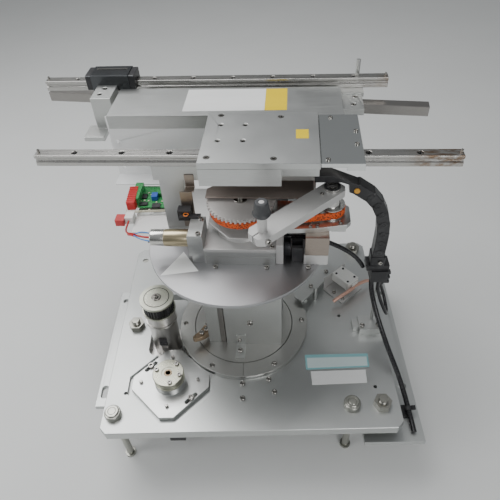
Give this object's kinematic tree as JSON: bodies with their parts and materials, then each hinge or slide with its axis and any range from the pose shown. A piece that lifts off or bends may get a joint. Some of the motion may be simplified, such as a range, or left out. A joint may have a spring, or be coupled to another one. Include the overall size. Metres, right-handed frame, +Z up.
{
  "type": "wafer transfer robot",
  "caption": "Wafer transfer robot on a levelled base plate: a belt-driven turntable column carries parallel linear rails, a lever drive, a cable chain and a sheet cover.",
  "frame": {"origin": "on the turntable's axis, level with the top face of the base plate", "axes": "+Z up along the turntable's axis; +X along the front edge of the base plate, to the right seen from the front; +Y from the front edge towards the back. The turntable stands at -3.9 degrees about +Z at rest."},
  "size_m": [0.5847, 0.4617, 0.4475],
  "materials": {
    "machined_aluminium": "fine milled, clear anodised, satin",
    "satin_aluminium": "bead blasted, clear anodised, matt",
    "white_sheet": "smooth white paint on folded sheet",
    "bright_steel": "ground and polished",
    "dark_steel": "dark brushed stainless",
    "stainless_sheet": "brushed stainless sheet",
    "rail_steel": "ground hardened rail steel",
    "zinc_screw": "bright zinc plated",
    "black_steel": "black oxide",
    "black_plastic": "matt moulded black",
    "black_cable": "smooth black cable jacket",
    "black_belt": "toothed neoprene",
    "orange_belt": "orange polyurethane, toothed inside",
    "motor_black": "black motor can",
    "polished_can": "polished motor can",
    "brass_housing": "yellow passivated gearhead",
    "bronze_dog": "bronze, machined",
    "mirror_plate": "mirror polished plate",
    "white_plastic": "moulded white",
    "circuit_green": "solder-masked circuit board"
  },
  "bodies": {
    "base": {"base_plate": "machined_aluminium", "left_foot_plate": "satin_aluminium", "right_foot_plate": "satin_aluminium", "levelling_screws": "zinc_screw", "bench_legs": "bright_steel", "ring_flange_halves": "machined_aluminium", "bearing_housing": "machined_aluminium", "motor_mount_plate": "machined_aluminium", "theta_motor": "motor_black", "theta_belt": "black_belt", "tower_motor": "polished_can", "sensor_bracket": "stainless_sheet", "limit_sensor": "white_plastic", "stop_sector": "satin_aluminium", "cable_post": "satin_aluminium", "cable_clips": "black_plastic", "main_cable": "black_cable", "loop_cable": "black_cable", "base_screws": "black_steel"},
    "motor_hub": {"motor_hub": "bright_steel"},
    "tower_pulley": {"tower_pulley": "satin_aluminium"},
    "turntable": {"rotor": "machined_aluminium", "column_plates": "satin_aluminium", "origin_dog": "bronze_dog", "turntable_disc": "machined_aluminium", "drive_housing": "satin_aluminium", "housing_lid": "satin_aluminium", "gear_block": "machined_aluminium", "gearmotor_can": "polished_can", "gearhead": "brass_housing", "motor_leads": "black_cable", "lead_plugs": "white_plastic", "board_tray": "stainless_sheet", "circuit_board": "circuit_green", "rail_frame": "satin_aluminium", "front_rail": "rail_steel", "rear_rail": "rail_steel", "box_cover": "white_sheet", "side_panel": "white_sheet", "cross_bar": "satin_aluminium", "end_block": "satin_aluminium", "deck_plate": "dark_steel", "idler_plate": "machined_aluminium", "drive_belt": "orange_belt", "photo_sensors": "black_plastic", "side_plate": "satin_aluminium", "sheet_brackets": "stainless_sheet", "cable_chain": "black_plastic", "bracket_cable": "black_cable"},
    "drive_wheel": {"drive_pulley": "bright_steel"},
    "lever": {"lever_pulley": "bright_steel", "lever_arm": "satin_aluminium"},
    "roller": {"roller": "black_plastic"},
    "encoder": {"encoder_disc": "black_steel"},
    "front_carriage": {"carriage_block": "rail_steel", "carriage_plate": "satin_aluminium", "mirror_plate": "mirror_plate", "drive_block": "satin_aluminium"},
    "rear_carriage": {"rear_block": "rail_steel", "hook_bracket": "satin_aluminium"}
  },
  "joints": [
    {"name": "theta", "type": "hinge", "parent": "base", "child": "turntable", "pos_m": [0, 0, 0], "axis": [0, 0, 1], "range_deg": [-45, 45], "deforming": ["cable_chain", "bracket_cable"]},
    {"name": "motor_hub_spin", "type": "hinge", "parent": "base", "child": "motor_hub", "pos_m": [-0.10597, -0.10298, 0], "axis": [0, 0, 1], "range_deg": [-150, 150]},
    {"name": "tower_pulley_spin", "type": "hinge", "parent": "base", "child": "tower_pulley", "pos_m": [-0.121, -0.023, 0.085], "axis": [0, 0, 1], "continuous": true},
    {"name": "lever_swing", "type": "hinge", "parent": "turntable", "child": "lever", "pos_m": [0.12038, -0.01322, 0.271], "axis": [0, 0, 1], "range_deg": [-15, 90]},
    {"name": "drive_pulley_spin", "type": "hinge", "parent": "turntable", "child": "drive_wheel", "pos_m": [0.00914, -0.00263, 0.246], "axis": [0, 0, 1], "range_deg": [-8, 40]},
    {"name": "encoder_disc_spin", "type": "hinge", "parent": "turntable", "child": "encoder", "pos_m": [0.0658, -0.03456, 0.203], "axis": [0.9977, -0.068, 0], "range_deg": [-130, 760]},
    {"name": "roller_spin", "type": "hinge", "parent": "lever", "child": "roller", "pos_m": [0.03533, -0.0846, 0.307], "axis": [0, 0, 1], "continuous": true},
    {"name": "front_slide", "type": "slide", "parent": "turntable", "child": "front_carriage", "axis": [0.9977, -0.068, 0], "range_m": [-0.235, 0.195]},
    {"name": "rear_slide", "type": "slide", "parent": "turntable", "child": "rear_carriage", "axis": [0.9977, -0.068, 0], "range_m": [-0.055, 0]}
  ],
  "couplings": [
    {"joint": "motor_hub_spin", "follows": "theta", "ratio": 3.3333},
    {"joint": "drive_pulley_spin", "follows": "lever_swing", "ratio": 0.4},
    {"joint": "encoder_disc_spin", "follows": "lever_swing", "ratio": 8}
  ]
}
